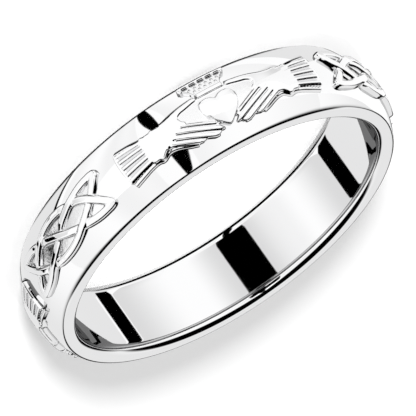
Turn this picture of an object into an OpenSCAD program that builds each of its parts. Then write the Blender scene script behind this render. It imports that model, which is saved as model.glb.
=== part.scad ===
// Claddagh ring: a court band cast with three pairs of hands that hold a crowned heart,
// and a three lobed plait between each pair. One piece of metal, lying on its crown rim.
// Millimetres. The axis is Z and the middle of the first heart faces -Y.

/* [Band] */
// inside diameter, about the middle of the usual finger sizes
inside_diameter = 16.6; // [15.4:0.1:19.4]
// width from rim to rim
band_width = 4; // [3.8:0.1:4.6]
// metal between the bore and the outer corner of a rim
rim_thickness = 0.78; // [0.74:0.02:1]
// how far the domed outside stands above the outer corners
dome_rise = 0.52; // [0.4:0.01:0.6]
// depth of the rounding at each end of the bore
court_depth = 0.3; // [0.2:0.01:0.34]
// length of that rounding along the bore
court_length = 0.45; // [0.4:0.01:0.6]
// bevel of the outer corners
corner_bevel = 0.05; // [0.03:0.01:0.08]

/* [Motifs] */
// how many hands and heart motifs go round the band, each with one plait after it
pairs = 3; // [1:1:3]
// arc that the hands and heart fill from cuff to cuff
claddagh_arc = 64.8; // [62:0.2:67]
// arc that a plait fills from point to point
knot_arc = 43; // [41:0.2:46]

/* [Relief] */
// height of the sunken floor between fingers and pleats above the dome
floor_relief = 0.1; // [0.08:0.01:0.14]
// height of the fingers, pleats, palms and plait strands above the dome
strand_relief = 0.25; // [0.2:0.01:0.28]
// height of the heart and of the roll at each wrist above the dome
heart_relief = 0.33; // [0.3:0.01:0.36]

/* [Plait] */
// width of a strand
strand_width = 0.35; // [0.3:0.01:0.38]
// gap beside a strand where another goes under it
weave_gap = 0.05; // [0.04:0.01:0.07]

/* [Cuffs and crown] */
// pleats in each cuff
pleats = 5; // [4:1:6]
// share of the pleat spacing that a groove takes
groove_share = 0.45; // [0.35:0.05:0.5]
// slots under the points of the crown
crown_slots = 5; // [4:1:6]
// diameter of a bead on the crown
bead_diameter = 0.18; // [0.14:0.01:0.2]

/* [Hidden] */
bore_radius = inside_diameter / 2;
rim_radius = bore_radius + rim_thickness;
half_width = band_width / 2;
dome_arc = (half_width * half_width + dome_rise * dome_rise) / (2 * dome_rise);
dome_centre = rim_radius + dome_rise - dome_arc;
court_arc = (court_length * court_length + court_depth * court_depth) / (2 * court_depth);
motif_radius = rim_radius + dome_rise + strand_relief / 2;
root_radius = bore_radius + rim_thickness / 2;
reach = motif_radius + 1;
half_claddagh = claddagh_arc / 2;
half_knot = knot_arc / 2;
floor_margin = 0.03;

// Tables of outlines have two columns. Along is the distance round the band from the middle of
// the motif, as a share of half its arc. Across is the distance from the middle of the band, as
// a share of half its width, plus toward the fingertips. The hands, the heart and the crown are
// given by their right half.

// half outline of the heart, from the cleft to the point
heart = [
    [0, -0.185], [0.035, -0.25], [0.075, -0.283], [0.12, -0.27], [0.155, -0.215], [0.172, -0.11],
    [0.171, 0.03], [0.156, 0.15], [0.12, 0.295], [0.082, 0.405], [0.042, 0.505], [0.018, 0.555],
    [0, 0.575]
];

// palm, from the wrist past the knuckles to the thumb along the shoulder of the heart
palm = [
    [0.63, 0.34], [0.565, 0.33], [0.53, 0.335], [0.505, 0.375], [0.488, 0.285], [0.452, 0.15],
    [0.395, 0.073], [0.36, 0.06], [0.33, 0.02], [0.362, -0.087], [0.371, -0.2], [0.34, -0.28],
    [0.266, -0.315], [0.188, -0.375], [0.15, -0.405], [0.14, -0.455], [0.16, -0.505],
    [0.237, -0.5], [0.31, -0.485], [0.374, -0.452], [0.47, -0.392], [0.543, -0.372],
    [0.63, -0.358]
];

// floor under the fingers and the palm
hand_floor = [
    [0.64, 0.355], [0.565, 0.347], [0.532, 0.352], [0.508, 0.4], [0.463, 0.445], [0.39, 0.55],
    [0.305, 0.66], [0.28, 0.655], [0.262, 0.6], [0.2, 0.67], [0.15, 0.73], [0.118, 0.7],
    [0.11, 0.655], [0.073, 0.65], [0.047, 0.6], [0.052, 0.55], [0.1, 0.47], [0.085, 0.415],
    [0.095, 0.365], [0.174, 0.26], [0.266, 0.12], [0.32, 0], [0.352, -0.09], [0.36, -0.195],
    [0.332, -0.265], [0.26, -0.298], [0.185, -0.355], [0.138, -0.385], [0.126, -0.45],
    [0.15, -0.525], [0.237, -0.518], [0.31, -0.503], [0.374, -0.468], [0.47, -0.408],
    [0.543, -0.388], [0.64, -0.373]
];

// fingers, first the one nearest the rim: knuckle along and across, tip along and across,
// and width as a share of half the band's width
fingers = [
    [0.535, 0.273, 0.305, 0.585, 0.097],
    [0.5, 0.182, 0.155, 0.64, 0.125],
    [0.455, 0.085, 0.085, 0.555, 0.125],
    [0.4, 0, 0.112, 0.385, 0.078]
];

// cuff: its wrist end and its open end along, and at each of the two ends how far it goes
// toward the fingertips and toward the crown; then the bow of the open end
cuff_wrist = 0.68;
cuff_open = 0.99;
cuff_up = [0.35, 0.5];
cuff_down = [-0.36, -0.5];
cuff_bow = 0.015;
// where the grooves between the pleats start
pleat_start = 0.737;

// roll at the wrist, all four corners
wrist_roll = [[0.615, 0.44], [0.695, 0.37], [0.695, -0.385], [0.615, -0.375]];

// half outline of the crown, from its edge near the heart to its edge near the rim: the plain
// headband, the sunken body, and the band of points with its slots and beads
headband = [[0.122, -0.38], [0.13, -0.497]];
crown_body = [[0.12, -0.48], [0.143, -0.65], [0.19, -0.765], [0.224, -0.87]];
crown_rim = [[0.172, -0.715], [0.236, -0.885]];
slot_row = -0.79;
slot_height = 0.07;
slot_share = 0.68;
bead_row = -0.605;
bead_spread = 1.2;

// Centre lines of the plait, in the same two columns. Each runs from one place where it goes
// under to the next, and the other three are these turned half round.
corner_over = [
    [-0.31, 0.24], [-0.4, 0.318], [-0.5, 0.387], [-0.64, 0.443], [-0.79, 0.457], [-0.882, 0.443],
    [-0.8, 0.24], [-0.717, 0.06], [-0.62, -0.115], [-0.5, -0.265], [-0.37, -0.36], [-0.3, -0.405]
];
corner_under = [
    [0.63, -0.09], [0.717, 0.06], [0.8, 0.24], [0.882, 0.443], [0.79, 0.457], [0.64, 0.443],
    [0.5, 0.387], [0.39, 0.318], [0.28, 0.25], [0.16, 0.17], [0.07, 0.1], [0, 0.03],
    [-0.07, -0.06]
];
middle_lobe = [
    [-0.74, -0.09], [-0.68, -0.01], [-0.595, 0.1], [-0.5, 0.21], [-0.395, 0.31], [-0.255, 0.4],
    [-0.115, 0.455], [0.02, 0.468], [0.16, 0.437], [0.3, 0.352], [0.4, 0.26]
];
middle_cross = [
    [0.43, -0.37], [0.35, -0.31], [0.23, -0.22], [0.115, -0.115], [0, 0], [-0.115, 0.115],
    [-0.23, 0.22], [-0.35, 0.31], [-0.43, 0.37]
];

// The flat outlines are cut through square to the band at these places, as shares of half the
// arc of their motif: the middle of the hand, of the wrist, of the cuff, of the outer lobe and
// of the middle lobe.
hand_facing = 0.36 * half_claddagh;
wrist_facing = 0.65 * half_claddagh;
cuff_facing = 0.83 * half_claddagh;
corner_facing = 0.55 * half_knot;
lobe_facing = 0.15 * half_knot;

// a table's point as a place on the flat that faces the given angle round the motif
function place(p, half_arc, facing) = [
    motif_radius * sin(p[0] * half_arc - facing),
    p[1] * half_width
];
function places(rows, half_arc, facing) = [for (p = rows) place(p, half_arc, facing)];
function swap(rows) = [for (i = [len(rows) - 1:-1:0]) rows[i]];
function other_side(rows) = [for (p = rows) [-p[0], p[1]]];
function half_turn(rows) = [for (p = rows) [-p[0], -p[1]]];
function unit(v) = v / norm(v);
function square_to(v) = [-v[1], v[0]];

// the side of a ribbon at one point of its centre line, with a mitre where the line turns
function ribbon_side(line, i, half) =
    let (
        last = len(line) - 1,
        before = unit(line[max(i, 1)] - line[max(i, 1) - 1]),
        after = unit(line[min(i, last - 1) + 1] - line[min(i, last - 1)]),
        across = unit(square_to(before) + square_to(after))
    )
    line[i] + across * half / (across * square_to(before));
function ribbon(line, width) = concat(
    [for (i = [0:len(line) - 1]) ribbon_side(line, i, width / 2)],
    swap([for (i = [0:len(line) - 1]) ribbon_side(line, i, -width / 2)])
);

// a finger from its knuckle to its rounded tip
function finger(from, to, half) =
    let (
        way = unit(to - from),
        side = square_to(way)
    )
    concat(
        [from - side * half],
        [for (a = [-90:30:90]) to + (way * cos(a) + side * sin(a)) * half],
        [from + side * half]
    );

// one angle of the cuff's lines: t is 0 at the crown side and 1 at the fingertip side
function cuff_line(t, along) =
    let (
        s = (along - cuff_wrist) / (cuff_open - cuff_wrist),
        up = cuff_up[0] + (cuff_up[1] - cuff_up[0]) * s,
        down = cuff_down[0] + (cuff_down[1] - cuff_down[0]) * s
    )
    [along, down + (up - down) * t];

// flat outline cut through the relief, square to the face of the band at the given angle
module stand_up(facing)
    rotate([0, 0, facing])
        rotate([90, 0, 90])
            translate([0, 0, root_radius])
                linear_extrude(height = reach - root_radius)
                    children();

// everything inside the surface that lies this high above the dome
module under_surface(height)
    rotate_extrude($fn = 240)
        intersection() {
            translate([dome_centre, 0])
                circle(r = dome_arc + height, $fn = 240);
            translate([bore_radius + 0.1, -half_width])
                square([reach, band_width]);
        }

module band()
    rotate_extrude($fn = 240)
        difference() {
            intersection() {
                translate([dome_centre, 0])
                    circle(r = dome_arc, $fn = 240);
                polygon([
                    [bore_radius, -half_width],
                    [rim_radius - corner_bevel, -half_width],
                    [rim_radius + 1, -half_width + corner_bevel + 1],
                    [rim_radius + 1, half_width - corner_bevel - 1],
                    [rim_radius - corner_bevel, half_width],
                    [bore_radius, half_width]
                ]);
            }
            court_corner();
            mirror([0, 1, 0])
                court_corner();
        }

// what the rounding takes off one end of the bore
module court_corner()
    difference() {
        translate([bore_radius - 1, half_width - court_length])
            square([court_depth + 1, court_length + 1]);
        translate([bore_radius + court_arc, half_width - court_length])
            circle(r = court_arc, $fn = 120);
    }

module heart_flat()
    polygon(places(concat(heart, swap(other_side(heart))), half_claddagh, 0));

module hand_flat(rows, facing)
    polygon(places(rows, half_claddagh, facing));

module fingers_flat(facing)
    for (f = fingers)
        polygon(finger(
            place([f[0], f[1]], half_claddagh, facing),
            place([f[2], f[3]], half_claddagh, facing),
            f[4] * half_width / 2
        ));

module cuff_flat(facing, grow)
    polygon(concat(
        places([cuff_line(0, cuff_wrist)], half_claddagh, facing) + [[0, -grow]],
        places([cuff_line(0, cuff_open)], half_claddagh, facing) + [[grow, -grow]],
        places([for (t = [0.25:0.25:0.75]) cuff_line(t, cuff_open + cuff_bow)], half_claddagh, facing)
            + [for (t = [0.25:0.25:0.75]) [grow, 0]],
        places([cuff_line(1, cuff_open)], half_claddagh, facing) + [[grow, grow]],
        places([cuff_line(1, cuff_wrist)], half_claddagh, facing) + [[0, grow]]
    ));

module pleat_grooves(facing)
    for (i = [1:pleats - 1])
        polygon(places([
            cuff_line((i - groove_share / 2) / pleats, pleat_start),
            cuff_line((i - groove_share / 2) / pleats, cuff_open + 0.06),
            cuff_line((i + groove_share / 2) / pleats, cuff_open + 0.06),
            cuff_line((i + groove_share / 2) / pleats, pleat_start)
        ], half_claddagh, facing));

// a piece of the crown that widens from one place across to the next
module flare(rows)
    polygon(places(concat(rows, swap(other_side(rows))), half_claddagh, 0));

module crown_slot(i) {
    width = crown_rim[0][0] + crown_rim[1][0];
    middle = (i + 0.5) / crown_slots - 0.5;
    run = width * slot_share / crown_slots / 2;
    polygon(places([
        [middle * width - run, slot_row - slot_height / 2],
        [middle * width + run, slot_row - slot_height / 2],
        [middle * width + run, slot_row + slot_height / 2],
        [middle * width - run, slot_row + slot_height / 2]
    ], half_claddagh, 0));
}

module crown_flat() {
    flare(headband);
    difference() {
        flare(crown_rim);
        for (i = [0:crown_slots - 1])
            crown_slot(i);
    }
    for (i = [0:crown_slots - 1])
        translate(place([
            ((i + 0.5) / crown_slots - 0.5) * 2 * crown_body[0][0] * bead_spread,
            bead_row
        ], half_claddagh, 0))
            circle(d = bead_diameter, $fn = 24);
}

module strand(line, over_start, over_end, facing)
    stand_up(facing)
        difference() {
            polygon(ribbon(places(line, half_knot, facing), strand_width));
            polygon(ribbon(places(over_start, half_knot, facing), strand_width + 2 * weave_gap));
            polygon(ribbon(places(over_end, half_knot, facing), strand_width + 2 * weave_gap));
        }

module knot() {
    strand(corner_over, middle_lobe, half_turn(corner_under), -corner_facing);
    strand(half_turn(corner_over), half_turn(middle_lobe), corner_under, corner_facing);
    strand(corner_under, half_turn(corner_over), middle_cross, corner_facing);
    strand(half_turn(corner_under), corner_over, middle_cross, -corner_facing);
    strand(middle_lobe, corner_over, corner_under, -lobe_facing);
    strand(half_turn(middle_lobe), half_turn(corner_over), half_turn(corner_under), lobe_facing);
    strand(middle_cross, middle_lobe, half_turn(middle_lobe), 0);
}

// both halves of the claddagh: children are for the right hand side
module both_sides() {
    children();
    mirror([0, 1, 0])
        children();
}

module claddagh_floor() {
    both_sides() {
        stand_up(hand_facing)
            hand_flat(hand_floor, hand_facing);
        stand_up(cuff_facing)
            cuff_flat(cuff_facing, floor_margin);
    }
    stand_up(0)
        flare(crown_body);
}

module claddagh_strands() {
    both_sides() {
        stand_up(hand_facing) {
            hand_flat(palm, hand_facing);
            fingers_flat(hand_facing);
        }
        stand_up(cuff_facing)
            difference() {
                cuff_flat(cuff_facing, 0);
                pleat_grooves(cuff_facing);
            }
    }
    stand_up(0)
        crown_flat();
}

module claddagh_heart() {
    stand_up(0)
        heart_flat();
    both_sides()
        stand_up(wrist_facing)
            hand_flat(wrist_roll, wrist_facing);
}

module round_the_band(start)
    for (k = [0:pairs - 1])
        rotate([0, 0, start + k * 360 / pairs])
            children();

module ring()
    color([0.86, 0.86, 0.88])
        translate([0, 0, half_width])
            union() {
                band();
                intersection() {
                    under_surface(floor_relief);
                    round_the_band(-90)
                        claddagh_floor();
                }
                intersection() {
                    under_surface(strand_relief);
                    union() {
                        round_the_band(-90)
                            claddagh_strands();
                        round_the_band(-90 + 180 / pairs)
                            knot();
                    }
                }
                intersection() {
                    under_surface(heart_relief);
                    round_the_band(-90)
                        claddagh_heart();
                }
            }

ring();
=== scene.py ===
# %% [markdown]
# # A claddagh ring in polished white metal
# The real ring is one casting: a court band, rounded inside and domed outside, with three
# claddaghs and three plaits standing on it in low relief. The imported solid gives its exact
# size and place. This lesson makes the same ring again with soft, cast edges and a fine
# surface, and lights it as a jeweller would.

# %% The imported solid
import bpy
import math
from mathutils import Matrix, Vector


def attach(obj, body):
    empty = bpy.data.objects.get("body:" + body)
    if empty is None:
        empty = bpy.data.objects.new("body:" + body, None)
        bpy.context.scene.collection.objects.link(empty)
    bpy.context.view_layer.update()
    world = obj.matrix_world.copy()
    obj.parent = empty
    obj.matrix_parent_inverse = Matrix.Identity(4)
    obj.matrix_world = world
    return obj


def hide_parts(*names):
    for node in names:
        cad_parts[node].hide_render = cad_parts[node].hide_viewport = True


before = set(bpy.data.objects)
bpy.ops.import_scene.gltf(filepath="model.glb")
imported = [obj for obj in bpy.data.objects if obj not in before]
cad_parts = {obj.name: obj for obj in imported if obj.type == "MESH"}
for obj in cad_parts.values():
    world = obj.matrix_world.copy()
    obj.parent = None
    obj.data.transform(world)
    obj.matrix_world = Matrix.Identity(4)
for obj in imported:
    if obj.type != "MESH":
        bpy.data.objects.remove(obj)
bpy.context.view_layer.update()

# %% [markdown]
# ## Sizes
# Jewellery is drawn in millimetres. Blender counts in metres, and several of its tools stop
# working below a tenth of a millimetre, so every piece here is drawn a thousand times up and
# brought down to its real size at the very end. The numbers are those of the solid.

# %% The band's sizes, in millimetres
MM = 0.001
BORE_RADIUS = 8.3
RIM_RADIUS = 9.08
HALF_WIDTH = 2.0
DOME_RISE = 0.52

CREST = RIM_RADIUS + DOME_RISE
DOME_ARC = (HALF_WIDTH ** 2 + DOME_RISE ** 2) / (2 * DOME_RISE)
print("dome arc", round(DOME_ARC, 3), "crest radius", CREST)


# %% [markdown]
# ## Helpers for work in object and edit mode
# By hand, each step is a click on a piece, a modifier or a tool. Blender's operators act on
# whatever is selected, so in a script each step starts from a clean selection. These helpers
# do that, so that the cells below read as the steps of the work.

# %% Selecting and applying
def pick(*objects):
    bpy.ops.object.select_all(action="DESELECT")
    for o in objects:
        o.select_set(True)
    bpy.context.view_layer.objects.active = objects[0]
    return objects[0]


def fresh(add, **settings):
    """A new primitive, with nothing else selected."""
    bpy.ops.object.select_all(action="DESELECT")
    add(**settings)
    return bpy.context.object


def applied(piece, kind, **settings):
    pick(piece)
    modifier = piece.modifiers.new(kind.title(), kind)
    for key, value in settings.items():
        setattr(modifier, key, value)
    bpy.ops.object.modifier_apply(modifier=modifier.name)
    return piece


def joined(name, parts):
    pick(*parts)
    bpy.ops.object.join()
    bpy.context.object.name = name
    return bpy.context.object


def settled(piece):
    pick(piece)
    bpy.ops.object.transform_apply(location=True, rotation=True, scale=True)
    return piece


def turned_out(piece):
    """Turns every face outward and leaves every face selected."""
    pick(piece)
    bpy.ops.object.mode_set(mode="EDIT")
    bpy.ops.mesh.select_all(action="SELECT")
    bpy.ops.mesh.normals_make_consistent(inside=False)
    bpy.ops.object.mode_set(mode="OBJECT")
    return piece


print("helpers: pick, fresh, applied, joined, settled, turned_out")


# %% [markdown]
# ## Marks of polishing
# Polished silver is a mirror with a little warmth taken out of it. What keeps it from looking
# like a computer's mirror is the trace of polishing: a slight unevenness in how sharp the
# reflections are. It could be painted, but noise on the piece's own coordinates never repeats
# and costs nothing. All the metals share it, so it is a node group with its own sockets.

# %% The marks as a node group
NOISE_DETAIL = 6
# the part of the noise that is spread over the whole range of roughness
NOISE_LOW, NOISE_HIGH = 0.35, 0.65


def fine_marks():
    """Fine polishing marks, as a change of roughness and a tiny height."""
    group = bpy.data.node_groups.new("polishing_marks", "ShaderNodeTree")
    for name, side in (("Scale", "INPUT"), ("Rough low", "INPUT"), ("Rough high", "INPUT"),
                       ("Roughness", "OUTPUT"), ("Height", "OUTPUT")):
        group.interface.new_socket(name, in_out=side, socket_type="NodeSocketFloat")
    nodes, links = group.nodes, group.links
    inputs = nodes.new("NodeGroupInput")
    outputs = nodes.new("NodeGroupOutput")
    place = nodes.new("ShaderNodeTexCoord")
    noise = nodes.new("ShaderNodeTexNoise")
    noise.inputs["Detail"].default_value = NOISE_DETAIL
    links.new(place.outputs["Object"], noise.inputs["Vector"])
    links.new(inputs.outputs["Scale"], noise.inputs["Scale"])
    spread = nodes.new("ShaderNodeMapRange")
    links.new(noise.outputs["Fac"], spread.inputs["Value"])
    spread.inputs["From Min"].default_value = NOISE_LOW
    spread.inputs["From Max"].default_value = NOISE_HIGH
    links.new(inputs.outputs["Rough low"], spread.inputs["To Min"])
    links.new(inputs.outputs["Rough high"], spread.inputs["To Max"])
    links.new(spread.outputs["Result"], outputs.inputs["Roughness"])
    links.new(noise.outputs["Fac"], outputs.inputs["Height"])
    return group


MARKS = fine_marks()
print("node group:", MARKS.name)


# %% [markdown]
# ## The three finishes
# One casting, three finishes: what the polishing wheel reached is bright, the channels between
# the pleats keep the rough skin of the mould and are darker as painted shade, and the sunken
# grounds are pitted. They could be three unlike materials, but it is one metal, so one function
# makes all three from a colour, a size of mark and a range of roughness. Creases darken by an
# attribute painted later: painted shade, with some of the patina that silver keeps there.

# %% The metals
# The share of the colour kept in the creases, as painted shade and patina.
CREASE_SHADE_SHARE = 0.16


def plain(name, colour):
    """A material of one colour, and its shader."""
    material = bpy.data.materials.new(name)
    material.use_nodes = True
    shader = material.node_tree.nodes["Principled BSDF"]
    shader.inputs["Base Color"].default_value = colour
    return material, shader


def metal(name, colour, mark_scale, rough_low, rough_high, mark_depth):
    """White metal, mark_depth in metres; creases keep a share of it as painted shade and patina.
    """
    material, shader = plain(name, colour)
    nodes, links = material.node_tree.nodes, material.node_tree.links
    shader.inputs["Metallic"].default_value = 1.0
    marks = nodes.new("ShaderNodeGroup")
    marks.node_tree = MARKS
    marks.inputs["Scale"].default_value = mark_scale
    marks.inputs["Rough low"].default_value = rough_low
    marks.inputs["Rough high"].default_value = rough_high
    links.new(marks.outputs["Roughness"], shader.inputs["Roughness"])
    bump = nodes.new("ShaderNodeBump")
    bump.inputs["Strength"].default_value = 1.0
    bump.inputs["Distance"].default_value = mark_depth
    links.new(marks.outputs["Height"], bump.inputs["Height"])
    links.new(bump.outputs["Normal"], shader.inputs["Normal"])
    # The attribute darkens the creases: painted shade, with some of the patina that silver keeps
    # there.
    shade_and_patina = nodes.new("ShaderNodeAttribute")
    shade_and_patina.attribute_name = "shade_and_patina"
    painted_crease_tint = nodes.new("ShaderNodeMix")
    painted_crease_tint.data_type = "RGBA"
    links.new(shade_and_patina.outputs["Fac"], painted_crease_tint.inputs["Factor"])
    painted_crease_tint.inputs["A"].default_value = tuple(c * CREASE_SHADE_SHARE for c in colour[:3]) + (1,)
    painted_crease_tint.inputs["B"].default_value = colour
    links.new(painted_crease_tint.outputs["Result"], shader.inputs["Base Color"])
    return material


polished = metal("polished white metal", (0.93, 0.93, 0.935, 1), mark_scale=900,
                 rough_low=0.02, rough_high=0.045, mark_depth=0.000001)
# The cast finish is rougher, and its darker colour is painted shade in the channels.
cast = metal("cast white metal", (0.78, 0.78, 0.79, 1), mark_scale=5000,
             rough_low=0.2, rough_high=0.3, mark_depth=0.000008)
pitted = metal("pitted white metal", (0.9, 0.9, 0.905, 1), mark_scale=6000,
               rough_low=0.12, rough_high=0.22, mark_depth=0.00001)
print("finishes:", polished.name, "/", cast.name, "/", pitted.name)


# %% [markdown]
# ## The band's outline
# A court band is domed outside and rounds off inside, so that it slips over a knuckle. The
# corner between dome and side face is a tight rounding: it draws the dark line along each rim.
# The bore starts to curve away slowly and then turns tightly, which gives the grey band there.
# A bevel could round the corners, but arcs with points of their own keep the reflections clean.

# %% The outline of the band
COURT_DEPTH = 0.3
COURT_TURN = 67
SLOW_ARC, SLOW_TURN = 1.3, 12
CORNER_ROUNDING = 0.22
DOME_STEPS, CORNER_STEPS, TIGHT_STEPS, SLOW_STEPS = 26, 7, 9, 10
# shares of the side face and of the straight part of the bore where a point helps
SIDE_FACE_POINT = 0.3
BORE_POINTS = (0.97, 0.8, 0.5)


def arc(cx, cz, radius, start, end, steps):
    turns = [math.radians(start + (end - start) * i / steps) for i in range(steps + 1)]
    return [(cx + radius * math.cos(turn), cz + radius * math.sin(turn)) for turn in turns]


def half_section():
    """The outline from the crest to the middle of the bore, as (radius, height) points."""
    slow_cos, court_cos = math.cos(math.radians(SLOW_TURN)), math.cos(math.radians(COURT_TURN))
    tight = (COURT_DEPTH - SLOW_ARC * (1 - slow_cos)) / (slow_cos - court_cos)
    face_radius = BORE_RADIUS + COURT_DEPTH
    edge = face_radius + tight * court_cos
    middle = HALF_WIDTH - tight * math.sin(math.radians(COURT_TURN))
    straight = middle - (SLOW_ARC - tight) * math.sin(math.radians(SLOW_TURN))
    # the rounding touches the dome and the side face
    dome_centre = CREST - DOME_ARC
    reach = DOME_ARC - CORNER_ROUNDING
    lift = HALF_WIDTH - CORNER_ROUNDING
    turn = math.degrees(math.asin(lift / reach))
    corner = dome_centre + reach * math.cos(math.radians(turn))
    section = arc(dome_centre, 0, DOME_ARC, 0, turn, DOME_STEPS)
    section += arc(corner, lift, CORNER_ROUNDING, turn, 90, CORNER_STEPS)[1:]
    section += [(face_radius + SIDE_FACE_POINT * (corner - face_radius), HALF_WIDTH)]
    section += arc(edge, middle, tight, 180 - COURT_TURN, 180 - SLOW_TURN, TIGHT_STEPS)
    slow_centre = BORE_RADIUS + SLOW_ARC
    section += arc(slow_centre, straight, SLOW_ARC, 180 - SLOW_TURN, 180, SLOW_STEPS)[1:]
    return section + [(BORE_RADIUS, straight * share) for share in BORE_POINTS]


upper = half_section()
section = upper + [(BORE_RADIUS, 0)] + [(r, -z) for r, z in reversed(upper[1:])]
print("points in the band's outline:", len(section))

# %% [markdown]
# ## Spinning the band
# A plain band is turned on a lathe. A tube could be cut to shape, but spinning the outline once
# round the axis does what the lathe does. The outline is put on the points of a circle first.

# %% The band
SPIN_STEPS = 360
SEAM = 0.0005
WHITE = (1, 1, 1, 1)

band = fresh(bpy.ops.mesh.primitive_circle_add, vertices=len(section), radius=1)
band.name = "band"
for vertex, (r, z) in zip(band.data.vertices, section):
    vertex.co = (r, 0, z)
bpy.ops.object.mode_set(mode="EDIT")
bpy.ops.mesh.select_all(action="SELECT")
bpy.ops.mesh.spin(steps=SPIN_STEPS, angle=math.tau, center=(0, 0, 0), axis=(0, 0, 1))
bpy.ops.mesh.select_all(action="SELECT")
bpy.ops.mesh.remove_doubles(threshold=SEAM)
bpy.ops.object.mode_set(mode="OBJECT")
turned_out(band)
bpy.ops.object.shade_smooth()
applied(band, "WEIGHTED_NORMAL", keep_sharp=False, weight=80)
bpy.ops.geometry.color_attribute_add(name="shade_and_patina", domain="POINT", data_type="FLOAT_COLOR",
                                     color=WHITE)
print("band faces:", len(band.data.polygons))


# %% [markdown]
# ## Drawing the relief flat
# On the real ring the relief was carved or pressed from a flat pattern. It could be modelled
# round the band, but relief is easiest to draw on a flat sheet and to bend afterwards. Tables
# hold places as shares: along, of half the motif's arc, and across, of half the band's width,
# plus toward the fingertips. On the sheet x runs along the band, y across it, and z stands up
# from the dome.

# %% From shares to the flat sheet
HALF_CLADDAGH = 32.4
HALF_PLAIT = 21.5
RELIEF = 0.25
# how deep the plates of a motif reach below the dome, so that nothing stands off it
FOOT = -0.15


def on_sheet(share, half_arc):
    along, across = share[0], share[1]
    x = CREST * math.radians(along * half_arc)
    y = DOME_ARC * math.asin(across * HALF_WIDTH / (DOME_ARC + RELIEF))
    return x, y


def mirrored(rows):
    return [(-r[0],) + tuple(r[1:]) for r in reversed(rows)]


print("tip of a cuff on the sheet:", on_sheet((1, 0.5), HALF_CLADDAGH))


# %% [markdown]
# ## Plates
# A palm or a cuff is a low plate with a soft edge. A mesh could be extruded and bevelled, but a
# filled curve needs only a few points, stays smooth between them, and rounds its own edge.

# %% Plates with a rounded edge
CURVE_STEPS = 5


def curve_circle():
    circle = fresh(bpy.ops.curve.primitive_bezier_circle_add, radius=1)
    circle.data.dimensions = "2D"
    circle.data.resolution_u = CURVE_STEPS
    return circle


def plate(rows, half_arc, high, rounding, grow=0.0, sharp=()):
    """A closed outline drawn with Bezier points, filled, thickened and given a rounded edge."""
    outline = curve_circle()
    curve = outline.data
    curve.fill_mode = "BOTH"
    points = curve.splines[0].bezier_points
    points.add(len(rows) - len(points))
    for i, (point, row) in enumerate(zip(points, rows)):
        x, y = on_sheet(row, half_arc)
        point.co = (x, y, 0)
        kind = "VECTOR" if i in sharp else "AUTO"
        point.handle_left_type = point.handle_right_type = kind
    curve.extrude = (high - FOOT) / 2 - rounding
    curve.bevel_depth = rounding
    curve.bevel_resolution = 3
    curve.offset = grow - rounding
    outline.location.z = (high + FOOT) / 2
    bpy.ops.object.convert(target="MESH")
    return settled(bpy.context.object)


print("plates reach", -FOOT, "mm below the dome")


# %% [markdown]
# ## Bars
# A strand, a finger or a pleat is a bar with a rounded back. It could be swept face by face, but
# one small outline of the bar's end, carried along a path, makes it at once.

# %% Bars with a rounded back
PATH_STEPS = 6
BACK_ROUNDING = 0.1


def bar_end(top, foot, low, high):
    """The cut end of a bar, by its width at the top and at the foot."""
    end = curve_circle()
    shoulder = high - high * BACK_ROUNDING
    shape = [(-foot / 2, low), (-foot / 2, 0.0), (-top / 2, shoulder), (0, high),
             (top / 2, shoulder), (foot / 2, 0.0), (foot / 2, low)]
    points = end.data.splines[0].bezier_points
    points.add(len(shape) - len(points))
    for i, (point, (x, y)) in enumerate(zip(points, shape)):
        point.co = (x, y, 0)
        kind = "VECTOR" if i in (0, 1, len(shape) - 2, len(shape) - 1) else "AUTO"
        point.handle_left_type = point.handle_right_type = kind
    return end


def bar(path, top, foot, low, high, closed=False):
    """A path of (x, y, z, thickness) points that carries a bar's end."""
    end = bar_end(top, foot, low, high)
    curve = fresh(bpy.ops.curve.primitive_bezier_curve_add, radius=1).data
    curve.dimensions = "3D"
    curve.twist_mode = "Z_UP"
    curve.resolution_u = PATH_STEPS
    spline = curve.splines[0]
    spline.use_cyclic_u = closed
    points = spline.bezier_points
    points.add(len(path) - len(points))
    for point, (x, y, z, thickness) in zip(points, path):
        point.co = (x, y, z)
        point.radius = thickness
        point.handle_left_type = point.handle_right_type = "AUTO"
    curve.bevel_mode = "OBJECT"
    curve.bevel_object = end
    curve.use_fill_caps = not closed
    bpy.ops.object.convert(target="MESH")
    made = settled(bpy.context.object)
    bpy.data.objects.remove(end)
    return made


print("bars: pieces of path in", PATH_STEPS, "steps")


# %% [markdown]
# ## One skin
# The drawn parts overlap, as wax does before casting. Booleans could join them but leave hard
# creases. A voxel remesh melts them into one closed skin of even squares, and a few passes of
# smoothing round what is left sharp, which is how a cast and polished edge looks.

# %% Melting
def melted(name, parts, grain, passes):
    piece = joined(name, parts)
    applied(piece, "REMESH", mode="VOXEL", voxel_size=grain, adaptivity=0.0)
    applied(piece, "SMOOTH", factor=0.5, iterations=passes)
    return piece


print("melting ready")


# %% [markdown]
# ## Dark creases: painted shade and patina
# Little light gets to the bottom of a groove, and polish never reaches it, so it keeps a patina.
# Both are painted as one darkening. The shader could look for it at render time, but the exported
# model would lose that. A dirt pass on a colour attribute stays with the mesh.

# %% Marking the creases
# Angles for the painted crease shade and patina.
CLEAN_ANGLE, CREASE_SHADE_ANGLE = 89, 79


def creases_shaded(piece, dirt_angle):
    """Darkens the attribute in creases: painted shade and patina. Flat and raised metal stays at
    1.
    """
    pick(piece)
    bpy.ops.geometry.color_attribute_add(name="shade_and_patina", domain="POINT",
                                         data_type="FLOAT_COLOR", color=WHITE)
    bpy.ops.object.mode_set(mode="VERTEX_PAINT")
    bpy.ops.paint.vertex_color_dirt(
        blur_strength=1.0, blur_iterations=1, clean_angle=math.radians(CLEAN_ANGLE),
        dirt_angle=math.radians(dirt_angle), dirt_only=True, normalize=False)
    bpy.ops.object.mode_set(mode="OBJECT")
    return piece


print("creases: clean from", CLEAN_ANGLE, "degrees, dark from", CREASE_SHADE_ANGLE)


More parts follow.
